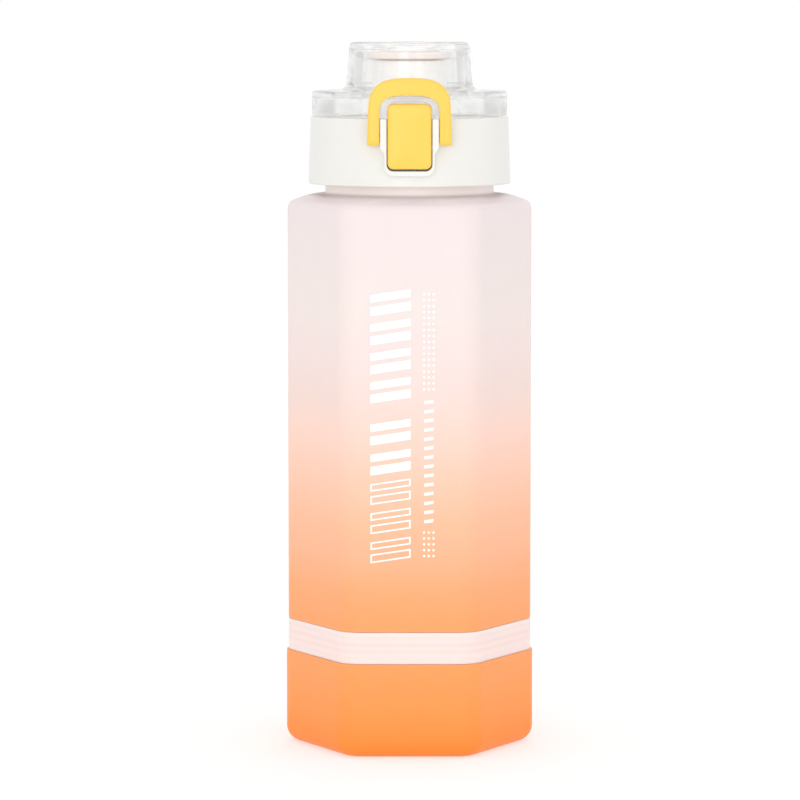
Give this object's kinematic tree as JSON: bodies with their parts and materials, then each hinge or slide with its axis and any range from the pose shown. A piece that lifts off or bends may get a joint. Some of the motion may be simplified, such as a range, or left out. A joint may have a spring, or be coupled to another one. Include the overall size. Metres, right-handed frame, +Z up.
{
  "type": "hexagonal sports bottle",
  "caption": "Hexagonal sports bottle with a flip-open clear lid over a drinking spout, a push-button latch, a safety bail and a screw-on storage cup below.",
  "frame": {"origin": "middle of the face the bottle stands on", "axes": "+Z up along the bottle, front with the button towards -Y, +X to the right seen from the front"},
  "size_m": [0.0852, 0.0764, 0.2417],
  "materials": {
    "tinted_cup": "frosted orange plastic",
    "white_plastic": "satin white plastic",
    "pale_band": "frosted translucent white plastic",
    "silicone": "soft translucent silicone",
    "frosted_body": "frosted plastic fading from near white at the top to orange at the bottom",
    "cap_plastic": "satin white plastic",
    "clear_lid": "clear, slightly milky plastic",
    "seal_silicone": "pale pinkish silicone",
    "steel": "plain steel wire and pins",
    "yellow_plastic": "satin warm yellow plastic"
  },
  "bodies": {
    "base": {"base_cup": "tinted_cup", "divider_insert": "white_plastic"},
    "band": {"band": "pale_band", "band_seal": "silicone"},
    "base_gasket": {"base_gasket": "silicone"},
    "bottle": {"bottle_body": "frosted_body"},
    "cap_gasket": {"cap_gasket": "silicone"},
    "cap": {"cap_body": "cap_plastic", "spout_gasket": "silicone", "spout": "white_plastic", "hinge_pin": "steel", "hinge_spring": "steel", "button_pin": "steel", "button_spring": "steel"},
    "lid": {"lid": "clear_lid", "lid_seal": "seal_silicone"},
    "button": {"button": "yellow_plastic"},
    "bail": {"bail": "yellow_plastic"}
  },
  "joints": [
    {"name": "storage_open", "type": "slide", "parent": "base", "child": "band", "axis": [0, 0, 1], "range_m": [0, 0.012]},
    {"name": "bottle_lift", "type": "slide", "parent": "band", "child": "base_gasket", "axis": [0, 0, 1], "range_m": [0, 0.01001]},
    {"name": "bottle_turn", "type": "hinge", "parent": "base_gasket", "child": "bottle", "pos_m": [0, 0, 0.0432], "axis": [0, 0, 1], "range_deg": [0, 720]},
    {"name": "cap_lift", "type": "slide", "parent": "bottle", "child": "cap_gasket", "axis": [0, 0, 1], "range_m": [0, 0.01801]},
    {"name": "cap_turn", "type": "hinge", "parent": "cap_gasket", "child": "cap", "pos_m": [0, 0, 0.2017], "axis": [0, 0, 1], "range_deg": [0, 1080]},
    {"name": "lid_hinge", "type": "hinge", "parent": "cap", "child": "lid", "pos_m": [0, 0.0352, 0.2175], "axis": [-1, 0, 0], "range_deg": [0, 110], "deforming": ["hinge_spring"]},
    {"name": "button_press", "type": "hinge", "parent": "cap", "child": "button", "pos_m": [0, -0.0334, 0.2067], "axis": [1, 0, 0], "range_deg": [0, 8], "stiffness_Nm_per_rad": 0.4, "springref_deg": -2.86, "deforming": ["button_spring"]},
    {"name": "bail_swing", "type": "hinge", "parent": "cap", "child": "bail", "pos_m": [0, -0.0352, 0.2096], "axis": [1, 0, 0], "range_deg": [0, 150]}
  ],
  "couplings": [
    {"joint": "bottle_lift", "follows": "bottle_turn", "m_per_rad": 0.00079577},
    {"joint": "cap_lift", "follows": "cap_turn", "m_per_rad": 0.00095493}
  ]
}
